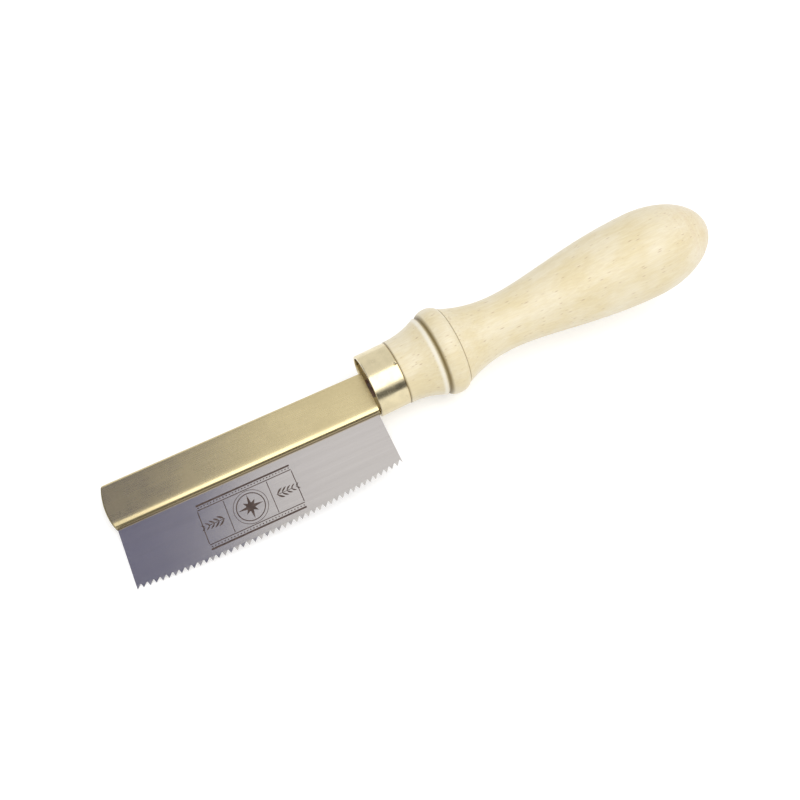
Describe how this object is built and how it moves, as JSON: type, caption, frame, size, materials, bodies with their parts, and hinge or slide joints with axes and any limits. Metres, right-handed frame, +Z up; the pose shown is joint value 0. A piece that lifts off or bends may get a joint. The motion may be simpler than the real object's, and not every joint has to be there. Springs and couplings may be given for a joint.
{
  "type": "inlay saw",
  "caption": "Small back saw for inlay work: a thin toothed plate in a folded brass back, with a brass ferrule and a turned wooden handle.",
  "frame": {"origin": "on the bench that the saw lies on, under the middle of its outline seen from above", "axes": "+X along the saw towards the handle's end, +Y from the teeth towards the spine of the back, +Z up from the bench; the saw lies on its side as it comes to rest"},
  "size_m": [0.1892, 0.0397, 0.033],
  "materials": {
    "blade_steel": "fine brushed spring steel",
    "back_brass": "satin brass, rolled and folded",
    "tang_steel": "plain drawn steel",
    "ferrule_brass": "polished brass tube",
    "handle_wood": "pale turned hardwood, sanded and waxed"
  },
  "bodies": {
    "root": {"saw_blade": "blade_steel", "brass_back": "back_brass", "tang": "tang_steel", "ferrule": "ferrule_brass", "handle": "handle_wood"}
  },
  "joints": []
}
